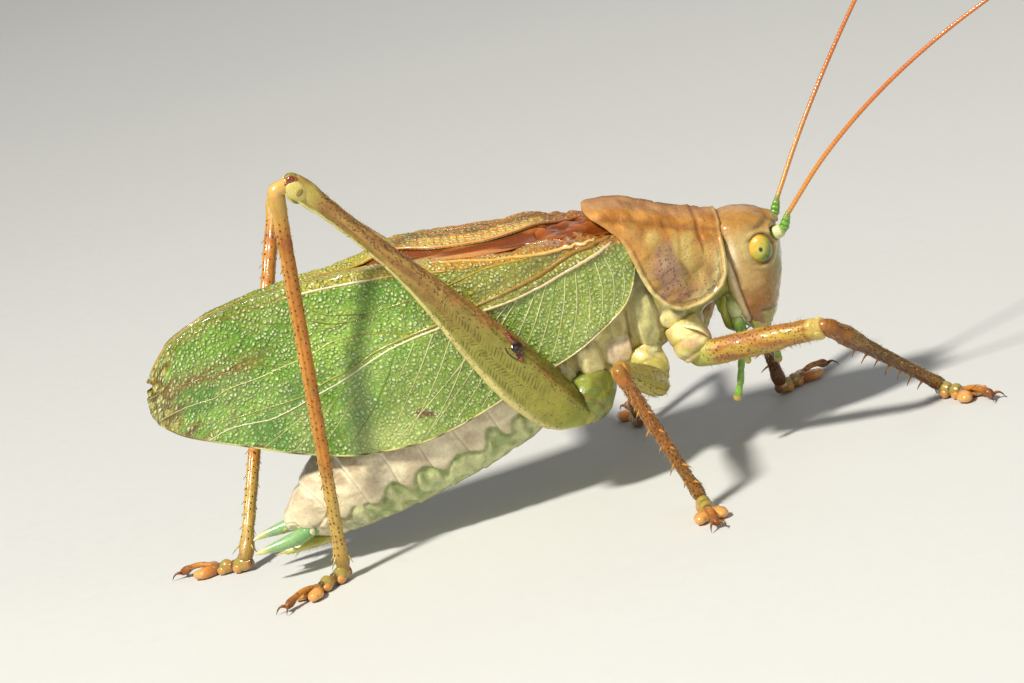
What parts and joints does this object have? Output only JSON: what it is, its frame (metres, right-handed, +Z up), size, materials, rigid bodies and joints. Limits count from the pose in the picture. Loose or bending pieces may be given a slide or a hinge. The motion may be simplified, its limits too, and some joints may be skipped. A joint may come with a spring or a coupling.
{
  "type": "long-horned grasshopper",
  "caption": "Life-size still model of a green and brown long-horned grasshopper standing, wings folded, hind knees raised high and long feelers swept forward.",
  "frame": {"origin": "middle of the bounding box at floor level, under the soles of the feet", "axes": "+X toward the head and feeler tips, +Y to the animal's left, +Z up"},
  "size_m": [0.071, 0.0278, 0.0357],
  "materials": {
    "head_cuticle": "smooth, slightly glossy olive beige cuticle",
    "eye": "glossy yellow-green compound eye",
    "feeler": "ringed orange-brown, green at the base",
    "mouthparts": "green and olive, slightly glossy",
    "pronotum": "orange-brown shield with stippled lilac-brown sides",
    "body_cuticle": "cream and pale green cuticle",
    "abdomen": "lilac-grey rings with green mottling",
    "tegmen": "thin green leathery wing with raised pale veins and brown tip",
    "cercus": "green with fine hairs",
    "subgenital_plate": "pale yellow",
    "leg": "orange-brown, dotted, with short spines",
    "foot": "orange-brown lobed foot joints"
  },
  "bodies": {
    "root": {"head": "head_cuticle", "labrum": "head_cuticle", "pronotum": "pronotum", "prothorax": "body_cuticle", "thorax": "body_cuticle", "abdomen": "abdomen", "subgenital_plate": "subgenital_plate", "eye_left": "eye", "antenna_left": "feeler", "mandible_left": "mouthparts", "maxillary_palp_left": "mouthparts", "labial_palp_left": "mouthparts", "tegmen_left": "tegmen", "cercus_left": "cercus", "coxa_fore_left": "body_cuticle", "femur_fore_left": "leg", "tibia_fore_left": "leg", "tarsus_fore_left": "foot", "coxa_mid_left": "body_cuticle", "femur_mid_left": "leg", "tibia_mid_left": "leg", "tarsus_mid_left": "foot", "coxa_hind_left": "body_cuticle", "femur_hind_left": "leg", "tibia_hind_left": "leg", "tarsus_hind_left": "foot", "eye_right": "eye", "antenna_right": "feeler", "mandible_right": "mouthparts", "maxillary_palp_right": "mouthparts", "labial_palp_right": "mouthparts", "tegmen_right": "tegmen", "cercus_right": "cercus", "coxa_fore_right": "body_cuticle", "femur_fore_right": "leg", "tibia_fore_right": "leg", "tarsus_fore_right": "foot", "coxa_mid_right": "body_cuticle", "femur_mid_right": "leg", "tibia_mid_right": "leg", "tarsus_mid_right": "foot", "coxa_hind_right": "body_cuticle", "femur_hind_right": "leg", "tibia_hind_right": "leg", "tarsus_hind_right": "foot"}
  },
  "joints": []
}
